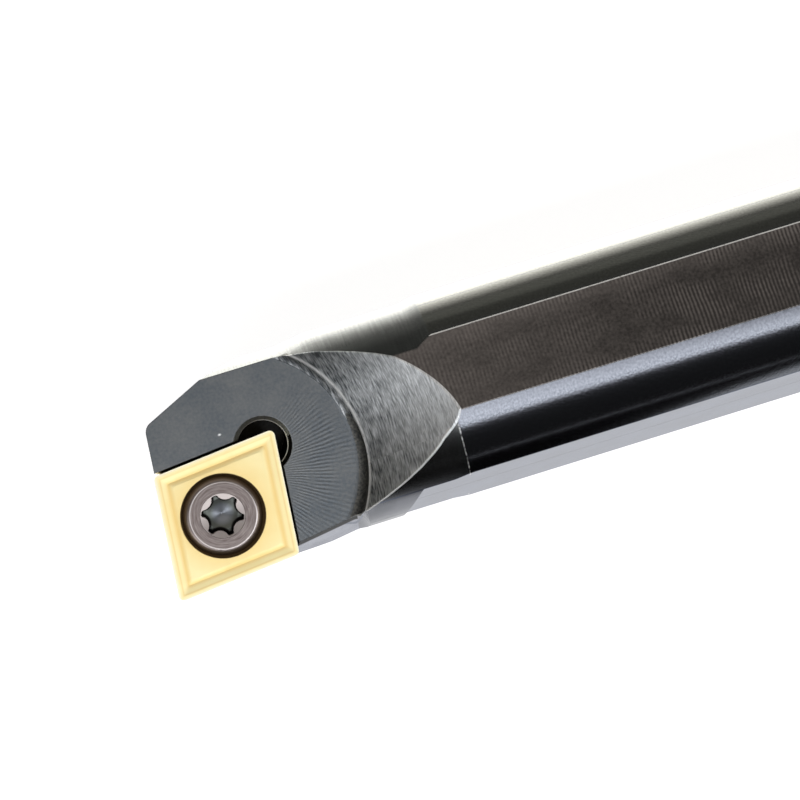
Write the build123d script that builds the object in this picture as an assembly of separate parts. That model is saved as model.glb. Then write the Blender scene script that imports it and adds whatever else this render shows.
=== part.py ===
from build123d import *
from math import cos, radians, sin, tan
import os

# A right-hand boring bar: a round steel bar whose milled head carries one 80-degree cutting
# insert, held by one six-lobe screw.
# Frame: the bar lies along X, the rear face is at x = 0 and the cutting corner at
# x = -overall_length. Z is up, square to the top clamping flat. The cutting corner is on the
# -Y side, at the height of the bar's axis. Lengths are in mm and angles in degrees.

# ---- bar ----
overall_length = 180.0       # cutting corner to rear face
shank_diameter = 16.0        # the ground shank
neck_diameter = 15.5         # left as turned, between the head and the shank
neck_length = 22.3           # cutting corner to the start of the taper
taper_length = 1.3           # taper from the neck up to the shank
rear_chamfer = 1.0
head_shift = 0.35            # the head is turned this far off the axis, towards the cutting side
head_turned_length = 12.4    # how far back the shifted head goes
head_blend_length = 2.4      # over which it runs back to the axis

# ---- clamping flats, each as its distance from the axis ----
top_flat = 7.4
bottom_flat = 7.4
side_flat = 7.1
side_flat_front = 18.0       # cutting corner to the rounded front end of the side flat
side_flat_mill = 9.4         # radius of that end
side_flat_end_drop = 2.5     # its centre runs this far below the axis

# ---- milled head ----
cutting_offset = 9.2         # axis to cutting corner, square to the axis
face_tilt = 20.0             # the insert leans back, so that its flanks clear a small bore
lead = 5.0                   # the side edge runs back from the bore wall by this angle
face_drop = 0.3              # the head's face lies this far below the insert's edges
mill_radius = 9.65           # the end mill that faces the head
mill_corner = 0.85           # its rounded corner leaves a fillet round the face
mill_centre = (7.07, 7.96)   # its last position on the face, from the cutting corner
scoop_radius = 11.8          # the chip run-out behind the face is a leaning round groove
scoop_point = (15.0, -4.18, 15.73)  # a point on its axis, in x from the cutting corner, y and z
scoop_rise = 31.6            # its axis climbs towards the shank
scoop_yaw = -4.4             # and swings towards the cutting side
front_inset = 0.07           # front face behind the insert's front edge
front_clearance = 8.0        # it leans back below the insert
nose_chamfer = ((1.69, 3.62), (5.5, 5.24))  # back corner cut off, two points in x and y
nose_round = 0.9
relief_points = ((10.38, -7.45), (14.3, -6.95))  # flank relief, two points in x and y
relief_level = 0.4           # height of those points
relief_lean = 6.5            # the relief leans out below them
relief_runout = 1.0          # radius left where the relief ends

# ---- cutting insert: 80-degree rhombus, 7-degree flanks ----
insert_circle = 9.525        # inscribed circle
insert_angle = 80.0
insert_thickness = 3.97
insert_clearance = 7.0
nose_radius = 0.4
land = 0.3                   # flat rim along the cutting edges
groove_bottom = 0.9          # edge to the bottom of the chip groove
groove_top = 1.25            # edge to the raised middle
groove_depth = 0.18
middle_drop = 0.04           # the middle lies this far below the rim
hole_diameter = 4.4
mouth_diameter = 6.44
hole_shift = (-0.28, 0.06)   # hole and screw off the insert's middle
countersink = 30.0           # half angle of the screw's seat

# ---- pocket ----
floor_gap = 0.03             # insert to pocket wall, at the floor
wall_angle = 10.0            # the walls open a little more than the insert's flanks
relief_hole = (9.36, 9.48)   # drilled at the pocket's corner, from the cutting corner
relief_hole_diameter = 3.76
relief_hole_extra = 0.35     # below the pocket's floor
relief_hole_chamfer = 0.36

# ---- clamping screw, M4 ----
thread_diameter = 4.0
thread_gap = 0.02
screw_waist = 3.5            # between the head and the thread
screw_top_diameter = 5.06
screw_head_diameter = 5.96
screw_head_drop = 0.12       # head's top below the insert's edges
screw_shoulder = 0.3         # height of the head's rounded edge
screw_edge_radius = 0.55
screw_length = 9.0           # cutting face to the tip
screw_point_bevel = 1.0      # 45 degrees, at the tip
lobe_tip_diameter = 3.26     # six-lobe recess, across the lobes
lobe_root_diameter = 2.38    # and across the flutes between them
lobe_turn = -22.0            # how far the screw happens to be turned
recess_mouth_diameter = 3.45  # 45-degree chamfer round the recess
lobe_flute_radius = 0.7
lobe_edge_radius = 0.16
recess_depth = 1.3
recess_cone = 0.5            # height of the cone at the bottom of the recess
recess_point = 0.05          # radius at its point

far = 30.0                   # reach of the cutting tools past the bar

# ---- places worked out from those ----
tip_x = -overall_length
shank_radius = shank_diameter / 2
neck_radius = neck_diameter / 2
insert_edge = insert_circle / sin(radians(insert_angle))
half_circle = insert_circle / 2

# The insert's top: x runs along the bar, y climbs the tilted face, z stands off it.
seat = Plane(
    origin=(tip_x, -cutting_offset, 0),
    x_dir=(1, 0, 0),
    z_dir=(0, -sin(radians(face_tilt)), cos(radians(face_tilt))),
)


def corner_of(inset):
    """The rhombus's cutting corner, moved in by inset from both of its edges."""
    reach = inset / sin(radians(insert_angle / 2))
    bisector = radians(lead + insert_angle / 2)
    return reach * cos(bisector), reach * sin(bisector)


def rhombus_points(inset):
    """Corners of the insert's outline on the seat plane, moved in by inset all round."""
    x, y = corner_of(inset)
    edge = (insert_circle - 2 * inset) / sin(radians(insert_angle))
    side = (edge * cos(radians(lead)), edge * sin(radians(lead)))
    front = (edge * cos(radians(lead + insert_angle)), edge * sin(radians(lead + insert_angle)))
    return [
        (x, y),
        (x + side[0], y + side[1]),
        (x + side[0] + front[0], y + side[1] + front[1]),
        (x + front[0], y + front[1]),
    ]


def outline(inset, radius, height):
    """The insert's rounded outline as a face, at a height above the seat plane."""
    sketch = make_face(Polyline(*rhombus_points(inset), close=True))
    sketch = fillet(sketch.vertices(), radius)
    return seat * Pos(0, 0, height) * sketch


def screw_centre():
    corners = rhombus_points(0)
    middle = Vector(*corners[0]).add(Vector(*corners[2])) / 2
    return middle.X + hole_shift[0], middle.Y + hole_shift[1]


def turned_bar():
    """Shank, taper and neck turned about the axis, and the head turned a little off it."""
    neck_front = tip_x + head_turned_length + head_blend_length
    profile = Polyline(
        (0, 0),
        (0, shank_radius - rear_chamfer),
        (-rear_chamfer, shank_radius),
        (tip_x + neck_length + taper_length, shank_radius),
        (tip_x + neck_length, neck_radius),
        (neck_front, neck_radius),
        (neck_front, 0),
        close=True,
    )
    bar = revolve(make_face(profile), Axis.X)
    neck_end = Plane(origin=(neck_front, 0, 0), z_dir=(-1, 0, 0)) * Circle(neck_radius)
    head_rear = tip_x + head_turned_length
    head_end = Plane(origin=(head_rear, -head_shift, 0), z_dir=(-1, 0, 0)) * Circle(neck_radius)
    blend = loft([neck_end, head_end])
    head = extrude(head_end, amount=head_turned_length)
    return bar + blend + head


def flats():
    """Blocks that mill the three clamping flats; the side one stops short of the head."""
    middle = -overall_length / 2
    tall = overall_length + far
    top = Pos(middle, 0, top_flat + far / 2) * Box(tall, far, far)
    bottom = Pos(middle, 0, -bottom_flat - far / 2) * Box(tall, far, far)
    centre_x = tip_x + side_flat_front + side_flat_mill
    run = Pos((centre_x + far) / 2, 0) * Rectangle(far - centre_x, far)
    end = Pos(centre_x, -side_flat_end_drop) * Circle(side_flat_mill)
    side_plane = Plane(origin=(0, -side_flat, 0), x_dir=(1, 0, 0), z_dir=(0, -1, 0))
    side = extrude(side_plane * (run + end), amount=far)
    return top + bottom + side


def chip_space():
    """All that is milled away above the head's face: the face itself and the run-out."""
    face = seat.offset(-face_drop)
    above = face * Pos(0, 0, far / 2) * Box(4 * far, 2 * far, far)
    ahead = face * Pos(mill_centre[0] - far, mill_centre[1], far / 2) * Box(2 * far, 2 * far, far)
    mill = Cylinder(mill_radius, far)
    mill = face * Pos(*mill_centre, far / 2) * fillet(mill.edges().sort_by(Axis.Z)[0], mill_corner)
    rise = radians(scoop_rise)
    yaw = radians(scoop_yaw)
    lean = (cos(rise) * cos(yaw), cos(rise) * sin(yaw), sin(rise))
    x, y, z = scoop_point
    scoop_axis = Plane(origin=(tip_x + x, y, z), z_dir=lean)
    scoop = (scoop_axis * Cylinder(scoop_radius, 4 * far)) & above
    return ahead + mill + scoop


def front_cut():
    """The head's front face, in line with the insert's front edge and leaning back under it."""
    corner = rhombus_points(front_inset)[0]
    along = radians(lead + insert_angle)
    lean = radians(front_clearance)
    outward = (-sin(along) * cos(lean), cos(along) * cos(lean), -sin(lean))
    local = Plane(origin=(corner[0], corner[1], 0), z_dir=outward)
    return seat * local * Pos(0, 0, far / 2) * Box(4 * far, 4 * far, far)


def chamfer_cut():
    """The back front corner cut off, upright."""
    (x1, y1), (x2, y2) = nose_chamfer
    along = Vector(x2 - x1, y2 - y1, 0).normalized()
    outward = Vector(-along.Y, along.X, 0)
    plane = Plane(origin=(tip_x + x1, y1, 0), x_dir=along, z_dir=outward)
    return plane * Pos(0, 0, far / 2) * Box(4 * far, 4 * far, far)


def flank_relief():
    """Leaning relief beside the face, with a small round where the cutter stops."""
    (x1, y1), (x2, y2) = relief_points
    along = Vector(x2 - x1, y2 - y1, 0).normalized()
    inward = Vector(-along.Y, along.X, 0)
    lean = radians(relief_lean)
    plane = Plane(
        origin=(tip_x + x2, y2, relief_level),
        x_dir=along,
        z_dir=inward * sin(lean) + Vector(0, 0, cos(lean)),
    )
    run = Pos(-far / 2, -far / 2) * Rectangle(far, far)
    end = Pos(0, -relief_runout) * Circle(relief_runout)
    return extrude(plane * (run + end), amount=far, both=True)


def pocket():
    """Room for the insert: a floor and two leaning walls, open to the front and the side."""
    floor = -insert_thickness
    top = far / 4
    inset = insert_thickness * tan(radians(insert_clearance)) - floor_gap
    opening = (top - floor) * tan(radians(wall_angle))
    faces = []
    for height, moved in ((floor, inset), (top, inset - opening)):
        inner = rhombus_points(moved)[2]
        side = (far * cos(radians(lead)), far * sin(radians(lead)))
        front = (far * cos(radians(lead + insert_angle)), far * sin(radians(lead + insert_angle)))
        points = [
            inner,
            (inner[0] - side[0], inner[1] - side[1]),
            (inner[0] - side[0] - front[0], inner[1] - side[1] - front[1]),
            (inner[0] - front[0], inner[1] - front[1]),
        ]
        faces.append(seat * Pos(0, 0, height) * make_face(Polyline(*points, close=True)))
    return loft(faces, ruled=True)


def drilled_holes():
    """The chamfered relief hole at the pocket's corner, and the screw's tapped hole."""
    radius = relief_hole_diameter / 2
    depth = insert_thickness + relief_hole_extra
    relief = Pos(*relief_hole, far / 2 - depth) * Cylinder(radius, far)
    edge = Pos(*relief_hole, -face_drop) * Cone(
        radius, radius + 2 * relief_hole_chamfer, 2 * relief_hole_chamfer
    )
    tapped_radius = thread_diameter / 2 + thread_gap
    tapped = Pos(*screw_centre(), -insert_thickness - far / 2) * Cylinder(tapped_radius, far)
    return seat * (relief + edge + tapped)


def bar_body():
    body = turned_bar() - flats() - flank_relief()
    body = body - chip_space() - front_cut() - chamfer_cut()
    x, y = nose_chamfer[0]
    nose_edge = body.edges().sort_by_distance((tip_x + x, y, 0))[0]
    body = fillet(nose_edge, nose_round)
    return body - pocket() - drilled_holes()


def cutting_insert():
    """Tapered rhombus with a chip groove round its raised middle and a countersunk hole."""
    foot_inset = insert_thickness * tan(radians(insert_clearance))
    top = outline(0, nose_radius, 0)
    foot = outline(foot_inset, nose_radius / 2, -insert_thickness)
    blank = loft([top, foot], ruled=True)
    inner_radius = nose_radius / 2
    dish = loft(
        [outline(land, inner_radius, 0), outline(groove_bottom, inner_radius, -groove_depth)],
        ruled=True,
    )
    middle = loft(
        [
            outline(groove_top, inner_radius, -middle_drop),
            outline(groove_bottom, inner_radius, -groove_depth),
        ],
        ruled=True,
    )
    mouth = mouth_diameter / 2
    hole = hole_diameter / 2
    seat_depth = middle_drop + (mouth - hole) / tan(radians(countersink))
    profile = Polyline(
        (0, groove_depth),
        (mouth, groove_depth),
        (mouth, -middle_drop),
        (hole, -seat_depth),
        (hole, -insert_thickness - groove_depth),
        (0, -insert_thickness - groove_depth),
        close=True,
    )
    bore = revolve(Plane.XZ * make_face(profile), Axis.Z)
    return blank - dish + middle - seat * Pos(*screw_centre()) * bore


def six_lobe():
    """Outline of the driver recess: a disc with six round flutes let in from its edge."""
    root = lobe_root_diameter / 2
    disc = Circle(lobe_tip_diameter / 2)
    flutes = PolarLocations(root + lobe_flute_radius, 6, start_angle=30)
    star = disc - [place * Circle(lobe_flute_radius) for place in flutes]
    return fillet(star.vertices(), lobe_edge_radius)


def insert_screw():
    """Countersunk screw with a round-edged head, a waist, and a plain cylinder for its thread."""
    top = -screw_head_drop
    head = screw_head_diameter / 2
    crown = screw_top_diameter / 2
    shoulder = top - screw_shoulder
    waist = screw_waist / 2
    thread = thread_diameter / 2
    cone_end = shoulder - (head - waist) / tan(radians(countersink))
    bevel = screw_point_bevel
    sides = Polyline(
        (head, shoulder),
        (waist, cone_end),
        (waist, -insert_thickness),
        (thread, -insert_thickness - (thread - waist)),
        (thread, -screw_length + bevel),
        (thread - bevel, -screw_length),
        (0, -screw_length),
        (0, top),
        (crown, top),
    )
    rounded_edge = RadiusArc((crown, top), (head, shoulder), screw_edge_radius)
    blank = revolve(Plane.XZ * make_face([*sides.edges(), rounded_edge]), Axis.Z)
    recess_floor = top - recess_depth
    recess = extrude(Pos(0, 0, recess_floor) * six_lobe(), amount=far)
    root = lobe_root_diameter / 2
    point = Pos(0, 0, recess_floor - recess_cone / 2) * Cone(recess_point, root, recess_cone)
    mouth = recess_mouth_diameter / 2
    chamfer_ring = Pos(0, 0, top - mouth / 2) * Cone(0, mouth, mouth)
    screw = Rot(0, 0, lobe_turn) * (blank - recess - point - chamfer_ring)
    return seat * Pos(*screw_centre()) * screw


os.makedirs("parts", exist_ok=True)
for name, maker in (
    ("bar_body", bar_body),
    ("cutting_insert", cutting_insert),
    ("insert_screw", insert_screw),
):
    solid = maker()
    print(name, round(solid.volume, 2), "mm3")
    export_step(solid, f"parts/{name}.step")
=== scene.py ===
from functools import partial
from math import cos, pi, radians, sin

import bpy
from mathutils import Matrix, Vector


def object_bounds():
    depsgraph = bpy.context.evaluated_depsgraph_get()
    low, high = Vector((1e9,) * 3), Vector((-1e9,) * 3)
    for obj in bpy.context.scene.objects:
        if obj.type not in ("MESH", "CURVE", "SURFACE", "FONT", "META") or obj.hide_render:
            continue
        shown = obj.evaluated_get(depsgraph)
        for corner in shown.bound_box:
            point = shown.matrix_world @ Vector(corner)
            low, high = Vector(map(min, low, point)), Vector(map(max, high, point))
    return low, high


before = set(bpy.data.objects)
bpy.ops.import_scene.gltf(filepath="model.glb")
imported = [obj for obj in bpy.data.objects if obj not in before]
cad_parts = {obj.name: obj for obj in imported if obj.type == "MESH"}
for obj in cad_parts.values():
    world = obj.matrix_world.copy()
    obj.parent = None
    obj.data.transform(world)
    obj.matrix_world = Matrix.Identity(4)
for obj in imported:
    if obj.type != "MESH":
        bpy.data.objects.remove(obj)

# %% [markdown]
# # A boring bar and its clamped insert
# A boring bar is a long steel bar that a lathe holds by one end. Its other end reaches into a bore
# and cuts with one corner of a small carbide insert. Three real pieces make it up: the bar, the
# insert and the screw that clamps it. Their shapes are already here, loaded as a fixed frame, so
# this lesson is about light and finish: what each machined surface does to a reflection.

MM = 0.001  # Blender's unit here is the metre, and a machinist's is the millimetre
cad_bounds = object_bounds()
cad_low, cad_high = (Vector(corner) for corner in cad_bounds)
print("the tool measures", [round(v / MM, 2) for v in cad_high - cad_low], "mm")

# %% [markdown]
# ## Three helpers
# Colours are written as they are seen on a screen, in hex, and turned to linear light by one
# function. A second small function adds a shader node, sets it and wires it, and returns the
# socket that the next node needs. A third starts an empty material for them. With these, a finish
# reads as a list of what the metal does.
# Inputs that share a name are given by number. A MapRange turns the span from 1 to 2 into the span
# from 3 to 4. A Mix has its share at 0, and its two ends at 2 and 3 for numbers, at 4 and 5 for
# vectors, and at 6 and 7 for colours.

# %% Helpers
def linear(hex_colour):
    """An sRGB hex colour as the linear RGBA that a shader wants."""
    parts = [int(hex_colour[i : i + 2], 16) / 255 for i in (1, 3, 5)]
    return [c / 12.92 if c <= 0.04045 else ((c + 0.055) / 1.055) ** 2.4 for c in parts] + [1]


def add_node(tree, kind, wires=None, out=0, **settings):
    """Adds one node. A wire is a value or another node's socket, by input name or number."""
    made = tree.nodes.new("ShaderNode" + kind)
    for name, value in settings.items():
        setattr(made, name, value)
    for key, value in (wires or {}).items():
        if isinstance(value, bpy.types.NodeSocket):
            tree.links.new(value, made.inputs[key])
        else:
            made.inputs[key].default_value = value
    return made.outputs[out] if made.outputs else made


def start_material(name):
    """An empty material, and add_node made ready for it."""
    material = bpy.data.materials.new(name)
    material.use_nodes = True
    material.node_tree.nodes.clear()
    return material, partial(add_node, material.node_tree)


print("mid grey in linear light:", [round(c, 3) for c in linear("#808080")])

# %% [markdown]
# ## Where the camera stands
# The camera looks almost straight down on the head, through a long lens, so that the bar keeps
# nearly parallel sides. Its place is worked out from two angles and a distance, which is how a
# camera's place is noted down in a studio.

# %% Camera
VIEW_AZIMUTH, VIEW_ELEVATION = radians(-17.61), radians(75.63)
VIEW_DISTANCE = 260 * MM
VIEW_TARGET = Vector((-159.534, 0.767, 0)) * MM
FOCAL_LENGTH, SENSOR_WIDTH = 153.62, 36  # mm

towards_camera = Vector(
    (
        sin(VIEW_AZIMUTH) * cos(VIEW_ELEVATION),
        -cos(VIEW_AZIMUTH) * cos(VIEW_ELEVATION),
        sin(VIEW_ELEVATION),
    )
)
camera = bpy.data.objects.new("camera", bpy.data.cameras.new("camera"))
camera.data.lens = FOCAL_LENGTH
camera.data.sensor_width = SENSOR_WIDTH
camera.data.clip_start = 10 * MM
camera.location = VIEW_TARGET + towards_camera * VIEW_DISTANCE
camera.rotation_euler = towards_camera.to_track_quat("Z", "Y").to_euler()
bpy.context.collection.objects.link(camera)
bpy.context.scene.camera = camera
bpy.context.scene.view_settings.view_transform = "Standard"
print("camera at", [round(v / MM, 1) for v in camera.location], "mm")

# %% [markdown]
# ## A white table
# Blackened steel has hardly any colour of its own: it shows what stands round it. So the set is
# the one used for cutlery and watches: a white table, two cards, soft lamps and a dark room. The
# table is matt paper. Enough lamplight to make it white would bleach the steel, so it glows
# instead, but only for the camera and in reflections, where the glow is a pool that fades behind
# the bar. Part of its light is still real diffuse light, and takes the bar's soft shadow.

# %% Table
TABLE_SIDE = 3.0                           # m
TABLE_GLOW = 0.86                          # for the camera, before the lamps add their light
POOL_GLOW, POOL_RIM = 0.9, 0.12            # in reflections, near the bar and far off behind it
POOL_START, POOL_END = 20 * MM, 150 * MM   # where the pool fades, behind the axis


def flat_sheet(name, corners, level, material):
    """A level sheet with the given corners, as a stage piece."""
    mesh = bpy.data.meshes.new(name)
    mesh.from_pydata([(x, y, level) for x, y in corners], [], [range(len(corners))])
    mesh.materials.append(material)
    sheet = bpy.data.objects.new(name, mesh)
    bpy.context.collection.objects.link(sheet)
    return sheet


white_paper, add = start_material("matt_white_paper")
camera_ray = add("LightPath", out="Is Camera Ray")
glossy_ray = add("LightPath", out="Is Glossy Ray")
glass_ray = add("LightPath", out="Is Transmission Ray")
back = add("SeparateXYZ", {0: add("TexCoord", out="Object")}, out="Y")
pool = add(
    "MapRange",
    {"Value": back, 1: POOL_START, 2: POOL_END, 3: POOL_GLOW, 4: POOL_RIM},
    interpolation_type="SMOOTHSTEP",
)
seen = add("Math", {0: camera_ray, 1: glass_ray}, operation="ADD")
seen = add("Math", {0: seen, 1: TABLE_GLOW}, operation="MULTIPLY")
glow = add("Math", {0: glossy_ray, 1: pool, 2: seen}, operation="MULTIPLY_ADD")
matt = add("BsdfDiffuse", {"Color": linear("#c4c4c4")})
lit = add("Emission", {"Strength": glow})
add("OutputMaterial", {"Surface": add("AddShader", {0: matt, 1: lit})})

half = TABLE_SIDE / 2
table_corners = ((-half, -half), (half, -half), (half, half), (-half, half))
table = flat_sheet("table", table_corners, cad_low.z, white_paper)
print(table.name, TABLE_SIDE, "m wide at z =", round(cad_low.z / MM, 2), "mm")

# %% [markdown]
# ## A black card
# A round bar mirrors the whole table, and would lose its black. A sheet of matt black card, laid
# beside it on the cutting side, cures that. Its near edge is cut back along the shank, where a
# little white comes in again. Only reflections see it.

# %% Black card
CARD_LIFT = 0.2 * MM    # above the table
BLACK_CARD = (          # its corners in mm, of which the last four are the near edge
    (-800, -600), (800, -600), (800, -110), (-118, -66), (-146, -30), (-150, -24), (-800, -24)
)


def lay_card(name, corners, material):
    """A card on the table that only reflections see, from its corners in mm."""
    corners = [(x * MM, y * MM) for x, y in corners]
    sheet = flat_sheet(name, corners, cad_low.z + CARD_LIFT, material)
    for ray in ("camera", "diffuse", "shadow", "transmission"):
        setattr(sheet, "visible_" + ray, False)
    return sheet


black_paper, add = start_material("matt_black_card")
matt = add("BsdfDiffuse", {"Color": linear("#1c1c1c")})
add("OutputMaterial", {"Surface": matt})
black_card = lay_card("black_card", BLACK_CARD, black_paper)
print(black_card.name, "has", len(BLACK_CARD), "corners")

# %% [markdown]
# ## A bright card
# A card behind the bar does the opposite: it glows, and the bar's far edge melts into the white,
# as it does on strongly lit paper. The glow falls off with distance from the bar, as such light
# does, by a power law with a limit close to the bar.

# %% Bright card
CARD_START, CARD_END, CARD_REACH = 10, 500, 800  # mm behind the axis, and to each side
CARD_GLOW = 6.0                                  # the limit close to the bar
CARD_FALL, CARD_POWER = 0.050, 1.35              # the glow 1 m behind the axis, and its fall

glowing_paper, add = start_material("glowing_white_card")
back = add("SeparateXYZ", {0: add("TexCoord", out="Object")}, out="Y")
fading = add("Math", {0: back, 1: CARD_POWER}, operation="POWER")
fading = add("Math", {0: CARD_FALL, 1: fading}, operation="DIVIDE")
fading = add("Math", {0: fading, 1: CARD_GLOW}, operation="MINIMUM")
lit = add("Emission", {"Color": linear("#fffdf6"), "Strength": fading})
add("OutputMaterial", {"Surface": lit})

card_corners = (
    (-CARD_REACH, CARD_START), (CARD_REACH, CARD_START),
    (CARD_REACH, CARD_END), (-CARD_REACH, CARD_END),
)
bright_card = lay_card("bright_card", card_corners, glowing_paper)
print(bright_card.name, "is", CARD_END - CARD_START, "mm deep")

# %% [markdown]
# ## Lamps along the bar
# A polished cylinder turns each lamp into a line along itself, so every lamp here is long and lies
# along the bar. The softbox, about 40 degrees off the vertical on the cutting side, draws the one
# bright line. Three dim panels, overhead, behind the bar and low behind it, give the flats and the
# far side their greys. Brightness is written as a radiance, since that is what a mirror shows, and
# turned to watts.

# %% Lamps
LAMP_LENGTH = 1.3            # m
LAMP_MIDDLE = 25 * MM        # along the bar, from its cutting end
LAMPS = (
    # name, degrees off the vertical towards -Y, distance and width in m, radiance, colour
    ("softbox", 41, 0.60, 0.212, 3.7, "#fafbff"),
    ("overhead_panel", -12, 0.80, 0.80, 0.5, "#fff6ee"),
    ("far_panel", -68, 0.90, 0.74, 0.17, "#fbfcf2"),
    ("low_panel", -84, 0.80, 0.20, 0.32, "#fbfcf2"),
)

for name, lean, distance, width, radiance, tint in LAMPS:
    lamp = bpy.data.lights.new(name, "AREA")
    lamp.shape = "RECTANGLE"
    lamp.size, lamp.size_y = LAMP_LENGTH, width
    lamp.energy = radiance * pi * width * LAMP_LENGTH
    lamp.color = linear(tint)[:3]
    item = bpy.data.objects.new(name, lamp)
    direction = Vector((0, -sin(radians(lean)), cos(radians(lean))))
    item.location = Vector((cad_low.x + LAMP_MIDDLE, 0, 0)) + direction * distance
    item.rotation_euler = (radians(lean), 0, 0)
    item.visible_camera = False
    bpy.context.collection.objects.link(item)
    print(name, round(lamp.energy, 2), "W")

# %% [markdown]
# ## A dark room
# Past the table's edge, reflections find a dark room, which keeps the black of the steel deep. The
# camera sees white there, so that the table has no visible end.

# %% Room
ROOM_DIM, ROOM_SEEN = 0.035, 1.0  # in reflections, and for the camera

world = bpy.data.worlds.new("dark_room")
bpy.context.scene.world = world
world.use_nodes = True
world.node_tree.nodes.clear()
add = partial(add_node, world.node_tree)
camera_ray = add("LightPath", out="Is Camera Ray")
strength = add("Mix", {0: camera_ray, 2: ROOM_DIM, 3: ROOM_SEEN}, data_type="FLOAT")
backdrop = add("Background", {"Color": linear("#ffffff"), "Strength": strength})
add("OutputWorld", {"Surface": backdrop})
print(world.name, "glows", ROOM_DIM, "in reflections")

# %% [markdown]
# ## Finding each machined surface
# The bar is one piece of steel, but every cutter that touched it left its own marks. Where each
# one worked could be painted on, but it can also be found from the cut itself: a flat is a
# distance from the axis, the head's face is a tilted plane, and the chip run-out is a round groove
# with a leaning axis. That way the borders fall exactly on the real edges. From here on lengths
# are in mm. The frame's X axis is the bar's, and the face is measured from the cutting corner.

# %% Directions of the tool
TIP_X = cad_low.x / MM
CUTTING_OFFSET = 9.2      # axis to cutting corner
FACE_TILT = radians(20)
FACE_DROP = 0.3           # head's face below the insert's edges
NEAR = 0.03               # how closely a point has to fit its surface

along_bar = Vector((1, 0, 0))
face_normal = Vector((0, -sin(FACE_TILT), cos(FACE_TILT)))
face_up = Vector((0, cos(FACE_TILT), sin(FACE_TILT)))
cutting_corner = Vector((TIP_X, -CUTTING_OFFSET, 0))


def from_corner(along, up):
    """The point that is so far along the bar and up the tilt from the cutting corner."""
    return cutting_corner + along_bar * along + face_up * up


print("cutting corner", [round(v, 2) for v in cutting_corner])

# %% [markdown]
# ## Measuring inside a material
# With a few vector nodes, a material can measure how far each point lies along a direction, or how
# far from an axis and how far round it.

# %% Measures
def in_millimetres(add):
    """Each point's place on the tool, in mm."""
    place = add("TexCoord", out="Object")
    return add("VectorMath", {0: place, "Scale": 1 / MM}, operation="SCALE")


def measured_along(add, place, direction, start=0.0):
    """How far each point lies along a direction, from a start."""
    reach = add("VectorMath", {0: place, 1: direction}, operation="DOT_PRODUCT", out="Value")
    return add("Math", {0: reach, 1: start}, operation="SUBTRACT")


def measured_round(add, place, point, axis):
    """Distance from an axis, distance along it, and the angle round it in radians."""
    away = add("VectorMath", {0: place, 1: point}, operation="SUBTRACT")
    flat = add("VectorMath", {0: away, 1: axis}, operation="CROSS_PRODUCT")
    reach = add("VectorMath", {0: flat}, operation="LENGTH", out="Value")
    side = Vector(axis).cross((0, 1, 0)).normalized()
    across = measured_along(add, away, side)
    rise = measured_along(add, away, Vector(axis).cross(side))
    angle = add("Math", {0: rise, 1: across}, operation="ARCTAN2")
    return reach, measured_along(add, away, axis), angle


print("a metre measures", round(1 / MM), "in a material")

# %% [markdown]
# ## Masks and grain
# A mask is 1 where a finish belongs and 0 elsewhere, and masks are multiplied to find where they
# all hold. Grain is noise, stretched until it has the size and the run of a cutter's marks. Noise
# rarely leaves the middle of its range, so where it has to reach 0 and 1, that middle is spread.

# %% Masks and grain
EVEN = Vector((1, 1, 1))             # grain of the same size in every direction
NOISE_LOW, NOISE_HIGH = 0.35, 0.65   # the part of noise's range that is spread


def band(add, value, middle, half_width):
    """1 where a value is at the middle of a band, falling smoothly to 0 at its edges."""
    off = add("Math", {0: value, 1: middle}, operation="SUBTRACT")
    off = add("Math", {0: off}, operation="ABSOLUTE")
    return add(
        "MapRange", {"Value": off, 1: 0.0, 2: half_width, 3: 1.0, 4: 0.0},
        interpolation_type="SMOOTHSTEP",
    )


def all_of(add, *masks):
    """Where every mask is 1."""
    shared = masks[0]
    for mask in masks[1:]:
        shared = add("Math", {0: shared, 1: mask}, operation="MULTIPLY")
    return shared


def grain(add, place, size, detail=3.0):
    """Noise from 0 to 1, with a feature size along each axis of a place, in that axis's unit."""
    scaled = add("VectorMath", {0: place, 1: size}, operation="DIVIDE")
    return add("TexNoise", {"Vector": scaled, "Scale": 1.0, "Detail": detail})


print("grain from", NOISE_LOW, "to", NOISE_HIGH, "is spread from 0 to 1")

# %% [markdown]
# ## Blackened steel
# The bar is alloy steel, turned, milled and ground, and then blackened in hot salts, which leaves
# a skin of black oxide. The skin is thin, so the steel still shines through it: a ground surface
# stays a dark mirror, and a milled one scatters the same light to a soft grey. Base colour here is
# how much of the light comes back, and roughness says which cutter was used. It is one piece of
# steel and one material, built in steps. The first one measures each point.

# %% Bar: each point measured
MILL_CENTRE = (7.07, 7.96)      # the end mill's last place on the face, from the corner
RELIEF_HOLE = (9.36, 9.48)      # a small hole that clears the insert's hidden corner
SCOOP_RISE, SCOOP_YAW = radians(31.6), radians(-4.4)  # how the run-out's axis leans
SCOOP_POINT = Vector((TIP_X + 15.0, -4.18, 15.73))    # a point on it

face_level = cutting_corner.dot(face_normal) - FACE_DROP
mill_middle = from_corner(*MILL_CENTRE)
relief_middle = from_corner(*RELIEF_HOLE)
scoop_axis = Vector(
    (cos(SCOOP_RISE) * cos(SCOOP_YAW), cos(SCOOP_RISE) * sin(SCOOP_YAW), sin(SCOOP_RISE))
)
steel, add = start_material("blackened_alloy_steel")
place = in_millimetres(add)
x = measured_along(add, place, (1, 0, 0))
y = measured_along(add, place, (0, 1, 0))
z = measured_along(add, place, (0, 0, 1))
height = measured_along(add, place, face_normal, face_level)
axis_reach, _, axis_angle = measured_round(add, place, (0, 0, 0), along_bar)
scoop_reach, scoop_along, scoop_angle = measured_round(add, place, SCOOP_POINT, scoop_axis)
mill_reach, _, mill_angle = measured_round(add, place, mill_middle, face_normal)
hole_reach, _, _ = measured_round(add, place, relief_middle, face_normal)
print("mill centre", [round(v, 2) for v in mill_middle])

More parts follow.
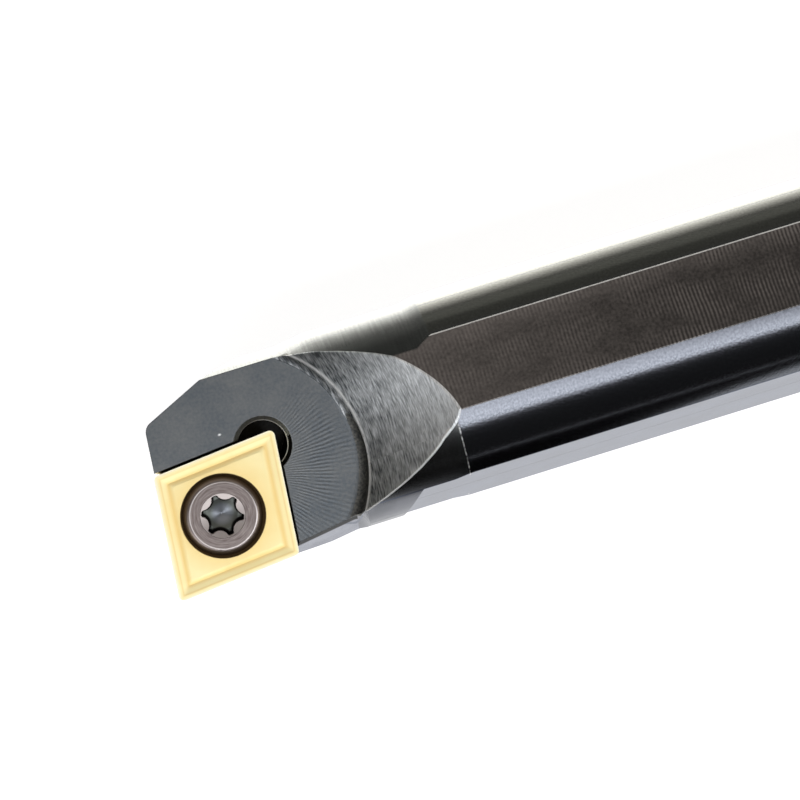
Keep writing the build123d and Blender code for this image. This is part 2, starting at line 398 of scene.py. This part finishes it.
# %% [markdown]
# ### Masks of the shank and the neck
# The shank is ground, with three flats milled along it for the holder's clamping screws, and the
# neck and the rear end are as the lathe left them. The far round is tinted warmer than the cutting
# side, a painted tint of what it reflects, and the lower half of the neck is painted paler, as
# painted light. A strip beside the top flat is painted darker, as painted shade that dims the
# highlight there; it begins behind the head and grows stronger along the bar.

# %% Bar: masks of the shank and the neck
TOP_FLAT, BOTTOM_FLAT, SIDE_FLAT = 7.4, -7.4, -7.1     # z of two flats, and y of the third
NECK_LENGTH, TAPER_LENGTH = 22.3, 1.3
COLLAR_INSET = 0.15                                    # the turned finish ends before the shank
LOW_NECK_START, LOW_NECK_END = 4.5, 3.0                # z across which the neck turns paler
FAR_START, FAR_END = 2.6, 3.4                          # y across which the warmer tint begins
STRIP_START, STRIP_END = -4.2, -3.0                    # y across the darkened strip
STRIP_FAINT, STRIP_FULL = TIP_X + 23, TIP_X + 50       # x
STRIP_LEAST = 0.3                                      # of its strength, where it is faint

on_top = add("Math", {0: z, 1: TOP_FLAT, 2: NEAR}, operation="COMPARE")
on_bottom = add("Math", {0: z, 1: BOTTOM_FLAT, 2: NEAR}, operation="COMPARE")
on_side = add("Math", {0: y, 1: SIDE_FLAT, 2: NEAR}, operation="COMPARE")
on_rear = add("Math", {0: x, 1: -NEAR}, operation="GREATER_THAN")
above = add("Math", {0: height, 1: NEAR}, operation="GREATER_THAN")
cutting_side = add("Math", {0: y, 1: 0.0}, operation="LESS_THAN")
collar = TIP_X + NECK_LENGTH + TAPER_LENGTH - COLLAR_INSET
turned = add("Math", {0: x, 1: collar}, operation="LESS_THAN")
# painted light: the lower half of the neck on the cutting side is made paler
low_neck_painted_light = add("MapRange", {"Value": z, 1: LOW_NECK_START, 2: LOW_NECK_END})
low_neck_painted_light = all_of(add, turned, cutting_side, low_neck_painted_light)
# painted reflection tint: the far round is tinted warmer than the cutting side
far_side_painted_tint = add("MapRange", {"Value": y, 1: FAR_START, 2: FAR_END})
# painted shade: a darker strip beside the top flat dims the highlight there
painted_shade_strip = add("MapRange", {"Value": y, 1: STRIP_START, 2: STRIP_END})
growing = add("MapRange", {"Value": x, 1: STRIP_FAINT, 2: STRIP_FULL, 3: STRIP_LEAST, 4: 1.0})
before_flat = add("Math", {0: y, 1: STRIP_END}, operation="LESS_THAN")
painted_shade_strip = all_of(add, painted_shade_strip, growing, before_flat, above)
print("the collar is at x =", round(collar, 2))

# %% [markdown]
# ### Masks of the head
# An end mill cut the tilted face, and its rounded corner left a fillet along the face's outline. A
# larger cutter cut the chip run-out behind it. The flank and the front were relieved with a finer
# cut, which is paler. Just below the face a near-black band is painted on the flank, as painted
# shade for the dark line along that edge. The small hole at the insert's hidden corner is drilled
# and chamfered, and below the chamfer its wall is painted dark, as painted shade.

# %% Bar: masks of the head
MILL_RADIUS, SCOOP_RADIUS = 9.65, 11.8
SCOOP_FIT = 0.08                                  # a curved mesh strays further than a flat one
FLANK_END, FRONT_END = TIP_X + 14.6, TIP_X + 1.5  # x
BAND_START = TIP_X + 9.5                          # x
BAND_FOOT, BAND_FULL = -0.80, -0.60               # height across the band's lower edge
RELIEF_RADIUS, RELIEF_CHAMFER = 1.88, 0.36
CHAMFER_FIT = 0.20                                # half the chamfer, and a little over
WALL_START = -0.4                                 # height below which the hole's wall is painted dark, as painted shade

on_face = add("Math", {0: height, 1: 0.0, 2: NEAR}, operation="COMPARE")
below = add("Math", {0: height, 1: -NEAR}, operation="LESS_THAN")
scooped = add("Math", {0: scoop_reach, 1: SCOOP_RADIUS, 2: SCOOP_FIT}, operation="COMPARE")
scooped = all_of(add, scooped, above)
in_mill = add("Math", {0: mill_reach, 1: MILL_RADIUS + NEAR}, operation="LESS_THAN")
filleted = all_of(add, in_mill, above)
ahead = add("Math", {0: x, 1: FLANK_END}, operation="LESS_THAN")
front = add("Math", {0: x, 1: FRONT_END}, operation="LESS_THAN")
flank = add("Math", {0: cutting_side, 1: front}, operation="MAXIMUM")
flank = all_of(add, ahead, flank)
behind_insert = add("Math", {0: x, 1: BAND_START}, operation="GREATER_THAN")
# painted shade: a near-black band on the flank just below the face
painted_shade_band = add("MapRange", {"Value": height, 1: BAND_FOOT, 2: BAND_FULL})
painted_shade_band = all_of(add, flank, behind_insert, below, painted_shade_band)
half_chamfer = RELIEF_CHAMFER / 2
ring = RELIEF_RADIUS + half_chamfer
ring = add("Math", {0: hole_reach, 1: ring, 2: CHAMFER_FIT}, operation="COMPARE")
sunk = add("Math", {0: height, 1: -half_chamfer, 2: CHAMFER_FIT}, operation="COMPARE")
hole_ring = all_of(add, ring, sunk)
# painted shade: the small hole's wall is darkened below its chamfer
in_hole = add("Math", {0: hole_reach, 1: RELIEF_RADIUS + NEAR}, operation="LESS_THAN")
drilled = add("Math", {0: height, 1: WALL_START}, operation="LESS_THAN")
painted_shade_in_hole = all_of(add, in_hole, drilled)
print("nodes that measure and mask the bar:", len(steel.node_tree.nodes))

# %% [markdown]
# ### Noise that several marks share
# No cutter leaves a perfect pattern, and oxide is never quite even. A few noises, from a speckle a
# fifth of a millimetre across to a swirl of several, break the marks up.

# %% Bar: shared noise
SPECKLE, PATCH, BLOTCH, SWIRL = 0.22, 1.6, 2.5, 3.0  # mm

swirl = grain(add, place, EVEN * SWIRL)
patch = grain(add, place, EVEN * PATCH, detail=2.0)
patch = add("MapRange", {"Value": patch, 1: NOISE_LOW, 2: NOISE_HIGH})
speckle = grain(add, place, EVEN * SPECKLE, detail=4.0)
blotch = grain(add, place, EVEN * BLOTCH, detail=3.0)
clouded = add("Mix", {0: 0.5, 2: speckle, 3: blotch}, data_type="FLOAT")
print("noises of", SPECKLE, "to", SWIRL, "mm")

# %% [markdown]
# ### The fan on the face
# An end mill that stops on a face leaves fine ridges that fan out from its last centre. They are
# drawn as a sine of the angle round that centre, bent by the swirl, in a broad ring of the face.
# They catch the light on the side away from the tip, and hardly show on the other.

# %% Bar: the end mill's fan
FAN_LINES = 143                      # ridges in a full turn
FAN_BEND = 13.0                      # radians that the swirl bends them
FAN_RADIUS, FAN_SPREAD = 6.2, 4.0    # mm, the middle of the ring, and half its width
FAN_SIDE = radians(19)               # how far below the bar's direction they show best
FAN_CLEAR, FAN_FAINT = -0.85, -0.40  # cosines between which they fade
FAN_REST = 0.12                      # what is left of them then

phase = add("Math", {0: mill_angle, 1: FAN_LINES}, operation="MULTIPLY")
phase = add("Math", {0: swirl, 1: FAN_BEND, 2: phase}, operation="MULTIPLY_ADD")
fan = add("Math", {0: phase}, operation="SINE")
facing = add("Math", {0: mill_angle, 1: FAN_SIDE}, operation="ADD")
facing = add("Math", {0: facing}, operation="COSINE")
facing = add("MapRange", {"Value": facing, 1: FAN_CLEAR, 2: FAN_FAINT, 3: 1.0, 4: FAN_REST})
fan = all_of(add, fan, band(add, mill_reach, FAN_RADIUS, FAN_SPREAD), patch, facing)
print("ridges", round(2 * pi * FAN_RADIUS / FAN_LINES, 2), "mm apart at the ring's middle")

# %% [markdown]
# ### Lines across the flats
# A face mill leaves lines across a flat as it feeds along. Real ones are about a tenth of a
# millimetre apart, which is too fine to show, so they are drawn three times as coarse. They are
# clearest towards the rear, where the flat is also a little darker, and cloud hides them in
# places. The flat's far edge is paler.

# %% Bar: lines across the flats
MILL_LINE = 0.3                                       # mm between lines
LINE_BEND = 7.0                                       # radians that the swirl bends them
FAINT_FROM, CLEAR_FROM = TIP_X + 26, TIP_X + 48       # x
FAINT, CLEAR = 0.05, 0.13                             # their strength there
CLOUD = (5.0, 2.5, 2.5)                               # mm, drawn out along the bar
HIDING, SHOWING = 0.38, 0.60                          # cloud that hides them, and that doesn't
PALE_FROM, DARK_FROM = TIP_X + 22, TIP_X + 42         # x
PALE, DARK = 0.27, 0.18                               # the flat's paleness there
FAR_EDGE_START, FAR_EDGE_END, FAR_EDGE = 1.4, 3.0, 0.10  # y, and the paleness that it adds
SPECKLED, CLOUDED = 0.26, 0.20                        # what speckle and cloud add

phase = add("Math", {0: x, 1: 2 * pi / MILL_LINE}, operation="MULTIPLY")
phase = add("Math", {0: swirl, 1: LINE_BEND, 2: phase}, operation="MULTIPLY_ADD")
lines = add("Math", {0: phase}, operation="SINE")
cloudy = grain(add, place, CLOUD, detail=2.0)
showing = add("MapRange", {"Value": cloudy, 1: HIDING, 2: SHOWING})
clear = add("MapRange", {"Value": x, 1: FAINT_FROM, 2: CLEAR_FROM, 3: FAINT, 4: CLEAR})
lines = add("Math", {0: lines, 1: all_of(add, clear, showing)}, operation="MULTIPLY")
paler = add("MapRange", {"Value": x, 1: PALE_FROM, 2: DARK_FROM, 3: PALE, 4: DARK})
far_edge = add(
    "MapRange", {"Value": y, 1: FAR_EDGE_START, 2: FAR_EDGE_END, 3: 0.0, 4: FAR_EDGE}
)
paler = add("Math", {0: far_edge, 1: paler}, operation="ADD")
paler = add("Math", {0: speckle, 1: SPECKLED, 2: paler}, operation="MULTIPLY_ADD")
lines = add("Math", {0: lines, 1: paler}, operation="ADD")
lines = add("Math", {0: cloudy, 1: CLOUDED, 2: lines}, operation="MULTIPLY_ADD")
print("lines", MILL_LINE, "mm apart")

# %% [markdown]
# ### Streaks in the run-out
# The run-out's cutter tore short streaks along its arc, and chips have rubbed its far part paler.
# The noise is laid out along the groove's axis and round it, so that the streaks follow the cut.

# %% Bar: streaks in the run-out
STREAK = (0.12, 0.07, 1.0)                      # mm along the groove's axis, radians round it
MOTTLE = (0.8, 0.12, 1.0)                       # the same, of the paler and darker patches
MOTTLE_SHARE, CONTRAST = 0.32, 0.78
RUB_START, RUB_FULL = TIP_X + 15, TIP_X + 23    # x
RUB_LEAST, RUB_MOST = 0.02, 0.22                # how much paler

scoop_place = add("CombineXYZ", {0: scoop_along, 1: scoop_angle, 2: 0.0})
streaks = grain(add, scoop_place, STREAK, detail=4.0)
mottle = grain(add, scoop_place, MOTTLE, detail=3.0)
mottle = add("Mix", {0: MOTTLE_SHARE, 2: streaks, 3: mottle}, data_type="FLOAT")
rubbed = add("MapRange", {"Value": x, 1: RUB_START, 2: RUB_FULL, 3: RUB_LEAST, 4: RUB_MOST})
mottle = add("Math", {0: mottle, 1: CONTRAST, 2: rubbed}, operation="MULTIPLY_ADD")
print("streaks", round(STREAK[1] * SCOOP_RADIUS, 2), "mm long")

# %% [markdown]
# ### Rings round the bar
# The grinding wheel left fine scratches round the shank, and the lathe left rings round the neck
# and on the rear face. Real ones are a few hundredths of a millimetre apart. They are drawn at
# about 0.15 mm, or they would not show at all.

# %% Bar: rings
GRIND = (0.16, 0.026, 1.0)   # mm between scratches, and radians that one goes round
TURN = (0.14, 0.5, 1.0)      # the same, of the lathe's rings

round_place = add("CombineXYZ", {0: x, 1: axis_angle, 2: 0.0})
ground = grain(add, round_place, GRIND, detail=4.0)
turning = grain(add, round_place, TURN)
rear_place = add("CombineXYZ", {0: axis_reach, 1: axis_angle, 2: 0.0})
faced = grain(add, rear_place, TURN)
print("scratches", GRIND[0], "mm apart, and rings", TURN[0], "mm")

# %% [markdown]
# ### The table of finishes
# The bar starts as ground steel. Each line of the table then says what one cutter left, or which
# light or shade is painted: where it lies, a colour, a second colour and the pattern between the
# two, a roughness, and marks with a depth in mm. A later line lies over an earlier one.

# %% Bar: the table of finishes
colour, stain = linear("#62656b"), linear("#74777d")
amount, roughness, marks, depth = ground, 0.14, ground, 0.0045
finishes = (
    # where, colour, second colour, pattern, roughness, marks, their depth in mm
    # painted shade beside the top flat
    (painted_shade_strip, "#35363a", "#46484d", speckle, 0.18, ground, 0.006),
    # painted reflection tint on the far round
    (far_side_painted_tint, "#595956", "#676764", ground, 0.16, ground, 0.0045),
    (on_rear, "#56575a", "#646568", faced, 0.30, faced, 0.003),
    (turned, "#4f5050", "#5d5f5e", turning, 0.26, turning, 0.0016),
    # painted light on the lower neck
    (low_neck_painted_light, "#6c6e73", "#787a80", blotch, 0.26, turning, 0.0),
    (flank, "#7e818a", "#93969f", blotch, 0.26, ground, 0.002),
    (on_top, "#444241", "#827e7c", lines, 0.36, lines, 0.002),
    (on_bottom, "#444241", "#827e7c", lines, 0.36, lines, 0.002),
    (on_side, "#5c616e", "#616776", blotch, 0.18, blotch, 0.0),
    (on_face, "#595e62", "#6b6d6d", clouded, 0.42, fan, 0.0052),
    (hole_ring, "#6f7274", "#808385", speckle, 0.45, speckle, 0.004),
    # painted shade in the small hole
    (painted_shade_in_hole, "#1e1e1e", "#262626", speckle, 0.35, ground, 0.001),
    (filleted, "#545655", "#7b7a75", speckle, 0.60, speckle, 0.008),
    (scooped, "#5d6163", "#f4f7f8", mottle, 0.52, streaks, 0.022),
    # painted shade below the face
    (painted_shade_band, "#0e0e0e", "#161616", speckle, 0.45, speckle, 0.001),
)
for where, tint, second, pattern, blur, cut, cut_depth in finishes:
    colour = add("Mix", {0: where, 6: colour, 7: linear(tint)}, out=2, data_type="RGBA")
    stain = add("Mix", {0: where, 6: stain, 7: linear(second)}, out=2, data_type="RGBA")
    amount = add("Mix", {0: where, 2: amount, 3: pattern}, data_type="FLOAT")
    roughness = add("Mix", {0: where, 2: roughness, 3: blur}, data_type="FLOAT")
    marks = add("Mix", {0: where, 2: marks, 3: cut}, data_type="FLOAT")
    depth = add("Mix", {0: where, 2: depth, 3: cut_depth}, data_type="FLOAT")
amount = add("MapRange", {"Value": amount, 1: NOISE_LOW, 2: NOISE_HIGH})
colour = add("Mix", {0: amount, 6: colour, 7: stain}, out=2, data_type="RGBA")
print(len(finishes) + 1, "finishes on the bar")

# %% [markdown]
# ### Edges rubbed bright, and painted highlights on them
# Chips and fingers rub the oxide off the sharp edges first, and the same near-white also stands
# for the light that these edges catch, a painted highlight: the arc between face and run-out, the
# run-out's rim, the collar behind the neck, the top flat's far edge and the mouth of the small
# hole. One nick in the face shows bare steel too. Speckle breaks every bright edge up.

# %% Bar: worn edges and painted highlights
NECK_RADIUS, SHANK_RADIUS = 7.75, 8.0
EDGE_HALF_WIDTH = 0.13                           # mm, half the width of a bright edge
ARC_HALF_WIDTH, COLLAR_HALF_WIDTH = 1.4 * EDGE_HALF_WIDTH, 0.08
HOLE_EDGE_HALF_WIDTH, FLAT_EDGE_HALF_WIDTH = 0.06, 0.05
BRIGHT_EDGE_SIDE = -4.0                    # y up to which the rim and the collar are bright
NICK, NICK_RADIUS = (6.80, 11.20), 0.20
NICK_LEAN = 1.2                       # of its axis along the bar, which makes it oblong
PATCHY_LOW, PATCHY_HIGH = 0.34, 0.62  # speckle that breaks the collar's edge
BROKEN_LOW, BROKEN_HIGH = 0.15, 0.42  # speckle that breaks every edge
BRIGHT_EDGE_ROUGHNESS = 0.65

at_scoop = band(add, scoop_reach, SCOOP_RADIUS, EDGE_HALF_WIDTH)
at_arc = band(add, mill_reach, MILL_RADIUS, ARC_HALF_WIDTH)
at_neck = band(add, axis_reach, NECK_RADIUS, EDGE_HALF_WIDTH)
at_collar = band(add, x, collar, COLLAR_HALF_WIDTH)
at_hole = band(add, hole_reach, RELIEF_RADIUS, HOLE_EDGE_HALF_WIDTH)
on_round = add("Math", {0: axis_reach, 1: NECK_RADIUS - NEAR}, operation="GREATER_THAN")
tip_side = add("Math", {0: y, 1: BRIGHT_EDGE_SIDE}, operation="LESS_THAN")
flat_edge = (SHANK_RADIUS**2 - TOP_FLAT**2) ** 0.5
at_flat_edge = add("Math", {0: y, 1: flat_edge, 2: FLAT_EDGE_HALF_WIDTH}, operation="COMPARE")
nick_axis = face_normal + NICK_LEAN * along_bar
nick_reach, _, _ = measured_round(add, place, from_corner(*NICK), nick_axis)
patchy = add("MapRange", {"Value": speckle, 1: PATCHY_LOW, 2: PATCHY_HIGH})
broken = add("MapRange", {"Value": speckle, 1: BROKEN_LOW, 2: BROKEN_HIGH})
worn_and_highlit_places = (
    all_of(add, at_scoop, at_arc, above),
    all_of(add, at_scoop, at_neck, above, tip_side),
    all_of(add, at_collar, on_round, tip_side, patchy),
    all_of(add, at_flat_edge, on_top),
    all_of(add, at_hole, sunk),
    all_of(add, on_face, band(add, nick_reach, 0.0, NICK_RADIUS)),
)
worn_and_highlit = worn_and_highlit_places[0]
for mask in worn_and_highlit_places[1:]:
    worn_and_highlit = add("Math", {0: worn_and_highlit, 1: mask}, operation="MAXIMUM")
worn_and_highlit = all_of(add, worn_and_highlit, broken)
# real wear and a painted highlight: the edges turn near-white
colour = add("Mix", {0: worn_and_highlit, 6: colour, 7: linear("#f4f4f2")}, out=2, data_type="RGBA")
roughness = add("Mix", {0: worn_and_highlit, 2: roughness, 3: BRIGHT_EDGE_ROUGHNESS}, data_type="FLOAT")
print(len(worn_and_highlit_places), "worn places")

# %% [markdown]
# ### The steel itself
# All that is left is a metal with that colour, roughness and relief. A file has broken the edges
# of the head and the neck, which the Bevel node imitates by bending the normals near them. The
# shank's ground edges are as sharp as the wheel left them, so there the plain normal stays.

# %% Bar: the finished steel
EASED = 0.09  # mm, radius of an edge broken with a file

relief = add("Math", {0: depth, 1: marks}, operation="MULTIPLY")
eased = add("Bevel", {"Radius": EASED * MM}, samples=4)
plain = add("NewGeometry", out="Normal")
eased = add("Mix", {0: turned, 4: plain, 5: eased}, out=1, data_type="VECTOR")
normal = add("Bump", {"Height": relief, "Distance": MM, "Strength": 1.0, "Normal": eased})
metal = add(
    "BsdfPrincipled",
    {"Base Color": colour, "Metallic": 1.0, "Roughness": roughness, "Normal": normal},
)
add("OutputMaterial", {"Surface": metal})
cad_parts["bar_body"].data.materials[0] = steel
print("bar finished with", len(steel.node_tree.nodes), "nodes")

# %% [markdown]
# ## Titanium nitride on carbide
# The insert is pressed and sintered tungsten carbide with a few thousandths of a millimetre of
# titanium nitride on it, which is hard, slippery and gold. The sintered surface below it is matt,
# so the coating looks like satin. Its tone changes with the distance from the edges, so that is
# measured first, as the least distance from the insert's four sides.

# %% Insert: places
INSERT_CIRCLE, INSERT_ANGLE, LEAD = 9.525, radians(80), radians(5)
HOLE_SHIFT = (-0.28, 0.06)   # of the screw, from the insert's middle

half_diagonal = INSERT_CIRCLE / 2 / sin(INSERT_ANGLE / 2)
bisector = LEAD + INSERT_ANGLE / 2
screw_middle = from_corner(
    half_diagonal * cos(bisector) + HOLE_SHIFT[0], half_diagonal * sin(bisector) + HOLE_SHIFT[1]
)
coating, add = start_material("titanium_nitride_coated_carbide")
place = in_millimetres(add)
front_turn = LEAD + INSERT_ANGLE
inwards = (
    face_up * cos(LEAD) - along_bar * sin(LEAD),
    along_bar * sin(front_turn) - face_up * cos(front_turn),
)
near_sides = [measured_along(add, place, way, cutting_corner.dot(way)) for way in inwards]
inset = add("Math", {0: near_sides[0], 1: near_sides[1]}, operation="MINIMUM")
for distance in near_sides:
    opposite = add("Math", {0: INSERT_CIRCLE, 1: distance}, operation="SUBTRACT")
    inset = add("Math", {0: inset, 1: opposite}, operation="MINIMUM")
reach, height, _ = measured_round(add, place, screw_middle, face_normal)
print("screw centre", [round(v, 2) for v in screw_middle])

# %% [markdown]
# ### Its colours
# The gold has a little cloud in it. A pale line along the honed edges is a painted highlight, and
# two deeper bands, where the chip groove dips and climbs again, are painted shade on its slopes.
# The ring round the hole is warmer, and the hole's mouth is painted dark brown, as painted shade.

# %% Insert: colours
CLOUD_SIZE = 2.5                               # mm
EDGE_BANDS = (
    # middle and half width in mm from the edge, colour
    (0.0, 0.25, "#fff9de"),
    (0.36, 0.12, "#f8e2a4"),
    (0.92, 0.34, "#f8dd98"),
)
WARM_START, WARM_END, WARMTH = 3.2, 4.6, 0.55  # mm from the screw's axis, and its strength
HOLE_SHADE_START, HOLE_SHADE_FULL = 3.24, 3.20                      # mm from the screw's axis

cloud = grain(add, place, EVEN * CLOUD_SIZE, detail=1.0)
gold, pale_gold = linear("#fdebae"), linear("#fff4c2")
colour = add("Mix", {0: cloud, 6: gold, 7: pale_gold}, out=2, data_type="RGBA")
# painted light and shade: the pale band along the edge is a painted highlight, the deeper ones
# painted shade on the groove's slopes
for middle, half_width, tint in EDGE_BANDS:
    where = band(add, inset, middle, half_width)
    colour = add("Mix", {0: where, 6: colour, 7: linear(tint)}, out=2, data_type="RGBA")
warmer = add("MapRange", {"Value": reach, 1: WARM_START, 2: WARM_END, 3: WARMTH, 4: 0.0})
colour = add("Mix", {0: warmer, 6: colour, 7: linear("#f5d68a")}, out=2, data_type="RGBA")
# painted shade: the hole's mouth turns dark brown
in_hole = add("MapRange", {"Value": reach, 1: HOLE_SHADE_START, 2: HOLE_SHADE_FULL})
colour = add("Mix", {0: in_hole, 6: colour, 7: linear("#6b5a40")}, out=2, data_type="RGBA")
print(len(EDGE_BANDS), "bands along the edges")

# %% [markdown]
# ### Its satin
# Carbide grains are a thousandth of a millimetre, far too fine to draw, so roughness stands for
# them, with a faint relief half a millimetre across that the eye reads as pressed powder. The top
# is brushed before it is coated, which evens out the groove's slopes, so there the normals lean
# towards the face.

# %% Insert: the finished coating
SATIN, SATIN_DEPTH = 0.5, 0.005        # mm
SMOOTHEST, ROUGHEST = 0.48, 0.58       # roughness
SOFTENED = 0.66                        # how far brushing evens out the groove's slopes
TOP_HEIGHT, HOLE_REACH = -0.6, 3.3     # mm, the top is above the one and outside the other


def leaned(add, share, direction):
    """The surface's own normal, leaned towards a direction by a share of the way."""
    plain = add("NewGeometry", out="Normal")
    slope = add("Mix", {0: share, 4: plain, 5: direction}, out=1, data_type="VECTOR")
    return add("VectorMath", {0: slope}, operation="NORMALIZE")


satin = grain(add, place, EVEN * SATIN, detail=4.0)
roughness = add("MapRange", {"Value": satin, 3: SMOOTHEST, 4: ROUGHEST})
on_top = add("Math", {0: height, 1: TOP_HEIGHT}, operation="GREATER_THAN")
outside = add("Math", {0: reach, 1: HOLE_REACH}, operation="GREATER_THAN")
brushed = all_of(add, on_top, outside)
brushed = add("Math", {0: brushed, 1: SOFTENED}, operation="MULTIPLY")
slope = leaned(add, brushed, face_normal)
relief = add("Math", {0: satin, 1: SATIN_DEPTH}, operation="MULTIPLY")
normal = add("Bump", {"Height": relief, "Distance": MM, "Strength": 1.0, "Normal": slope})
metal = add(
    "BsdfPrincipled",
    {"Base Color": colour, "Metallic": 1.0, "Roughness": roughness, "Normal": normal},
)
add("OutputMaterial", {"Surface": metal})
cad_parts["cutting_insert"].data.materials[0] = coating
print("insert finished with", len(coating.node_tree.nodes), "nodes")

# %% [markdown]
# ## The screw
# The clamping screw is turned from steel and blackened, with a six-lobe recess pressed into its
# head. Its flat carries the lathe's rings. The driver has rubbed the recess's mouth. The rim of
# the head is partly rubbed bright and partly a painted highlight, and the recess's wall is painted
# near-black, as painted shade. As on the bar, the places come first.

# %% Screw: places
SCREW_DROP = 0.12                      # mm, head's flat below the insert's edges
WALL_DROP, FLOOR_DROP = 0.56, 1.28     # mm below the flat, where wall and floor begin
CROWN_RADIUS, RIM_HALF_WIDTH = 2.53, 0.07    # mm, edge of the flat, and half the width of its bright rim
MOUTH_RADIUS = 1.725                   # mm, of the recess's chamfered mouth

screw_steel, add = start_material("blackened_turned_steel")
place = in_millimetres(add)
reach, height, angle = measured_round(add, place, screw_middle, face_normal)
flat = add("Math", {0: height, 1: -SCREW_DROP, 2: NEAR}, operation="COMPARE")
below = add("Math", {0: height, 1: -SCREW_DROP - NEAR}, operation="LESS_THAN")
deep = add("Math", {0: height, 1: -SCREW_DROP - WALL_DROP}, operation="LESS_THAN")
floor = add("Math", {0: height, 1: -SCREW_DROP - FLOOR_DROP}, operation="LESS_THAN")
inside = add("Math", {0: reach, 1: MOUTH_RADIUS + NEAR}, operation="LESS_THAN")
mouth = all_of(add, inside, below)
wall = all_of(add, inside, deep)
bottom = all_of(add, inside, floor)
# the rim: partly rubbed bright, partly a painted highlight
rim = band(add, reach, CROWN_RADIUS, RIM_HALF_WIDTH)
print("the recess's mouth is", 2 * MOUTH_RADIUS, "mm wide")

# %% [markdown]
# ### The foot of the recess
# Where the recess's wall meets its floor, a black line is painted, as painted shade in that
# corner.
# The wall follows six flutes and a circle outside them. A ping-pong of the angle folds the six
# flutes into one, and the law of cosines gives the distance from its centre.

# %% Screw: the black foot
FLUTE_PLACE, FLUTE_RADIUS, FLUTE_TURN = 1.89, 0.70, radians(8)
FLUTE_BLACK, FLUTE_CLEAN = 0.13, 0.24   # mm from a flute, where the black thins and ends
LOBE_TIP = 1.63                         # mm from the axis to a lobe's end
LOBE_CLEAN, LOBE_BLACK = 0.25, 0.14     # mm before that end, the same

fold = add("Math", {0: angle, 1: FLUTE_TURN}, operation="SUBTRACT")
fold = add("Math", {0: fold, 1: pi / 6}, operation="PINGPONG")
fold = add("Math", {0: fold}, operation="COSINE")
to_flute = add("Math", {0: reach, 1: fold}, operation="MULTIPLY")
squares = {0: to_flute, 1: -2 * FLUTE_PLACE, 2: FLUTE_PLACE**2}
to_flute = add("Math", squares, operation="MULTIPLY_ADD")
to_flute = add("Math", {0: reach, 1: reach, 2: to_flute}, operation="MULTIPLY_ADD")
to_flute = add("Math", {0: to_flute}, operation="SQRT")
black, clean = FLUTE_RADIUS + FLUTE_BLACK, FLUTE_RADIUS + FLUTE_CLEAN
foot = add("MapRange", {"Value": to_flute, 1: black, 2: clean, 3: 1.0, 4: 0.0})
tip = add("MapRange", {"Value": reach, 1: LOBE_TIP - LOBE_CLEAN, 2: LOBE_TIP - LOBE_BLACK})
foot = add("Math", {0: foot, 1: tip}, operation="MAXIMUM")
foot = all_of(add, foot, bottom)
print("flutes stand", round(FLUTE_PLACE - FLUTE_RADIUS, 2), "mm from the axis")

# %% [markdown]
# ### Its colours
# The colours go on in order, from the head's side to its bright rim. The turning rings are noise
# stretched round the head, drawn a little coarser than the real ones. The recess's floor is a
# shallow cone with a painted highlight in its middle, fading to painted shade towards the wall.

# %% Screw: colours
RING = (0.12, 0.5, 1.0)             # mm between turning rings, and radians that one goes round
RING_LOW, RING_HIGH = 0.3, 0.7      # the part of the noise that is spread
CONE_BRIGHT, CONE_DARK = 0.5, 0.95  # mm from the axis

ring_place = add("CombineXYZ", {0: reach, 1: angle, 2: 0.0})
ring = grain(add, ring_place, RING, detail=4.0)
ring = add("MapRange", {"Value": ring, 1: RING_LOW, 2: RING_HIGH})
dark, pale = linear("#665c59"), linear("#8f8682")
on_flat = add("Mix", {0: ring, 6: dark, 7: pale}, out=2, data_type="RGBA")
# painted highlight in the floor's middle, fading to painted shade at its edge
cone = add("MapRange", {"Value": reach, 1: CONE_BRIGHT, 2: CONE_DARK, 3: 1.0, 4: 0.0})
dark, pale = linear("#6e726d"), linear("#989da4")
on_floor = add("Mix", {0: cone, 6: dark, 7: pale}, out=2, data_type="RGBA")
colour = linear("#8a7c6e")
# in this list the wall and the foot are painted shade, and the rim is partly a painted highlight
coats = (
    (flat, on_flat),
    (mouth, linear("#a8a09c")),
    (wall, linear("#1b1917")),
    (bottom, on_floor),
    (foot, linear("#161413")),
    (rim, linear("#c6c0bc")),
)
for where, coat in coats:
    colour = add("Mix", {0: where, 6: colour, 7: coat}, out=2, data_type="RGBA")
print(len(coats) + 1, "colours on the screw")

# %% [markdown]
# ### Its finish
# Turned steel that is blackened stays fairly glossy, a little more so on the flat. The press has
# rounded the recess's mouth over, so there the normals lean towards the face.

# %% Screw: the finished steel
FLAT_ROUGHNESS, OTHER_ROUGHNESS = 0.36, 0.40
RING_DEPTH = 0.0012      # mm
MOUTH_ROUNDED = 0.8      # how far the press has rounded the mouth over

roughness = add("Mix", {0: flat, 2: OTHER_ROUGHNESS, 3: FLAT_ROUGHNESS}, data_type="FLOAT")
shallow = add("Math", {0: 1.0, 1: deep}, operation="SUBTRACT")
rounded = all_of(add, mouth, shallow)
rounded = add("Math", {0: rounded, 1: MOUTH_ROUNDED}, operation="MULTIPLY")
slope = leaned(add, rounded, face_normal)
relief = add("Math", {0: ring, 1: RING_DEPTH}, operation="MULTIPLY")
normal = add("Bump", {"Height": relief, "Distance": MM, "Strength": 1.0, "Normal": slope})
metal = add(
    "BsdfPrincipled",
    {"Base Color": colour, "Metallic": 1.0, "Roughness": roughness, "Normal": normal},
)
add("OutputMaterial", {"Surface": metal})
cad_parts["insert_screw"].data.materials[0] = screw_steel
print("screw finished with", len(screw_steel.node_tree.nodes), "nodes")
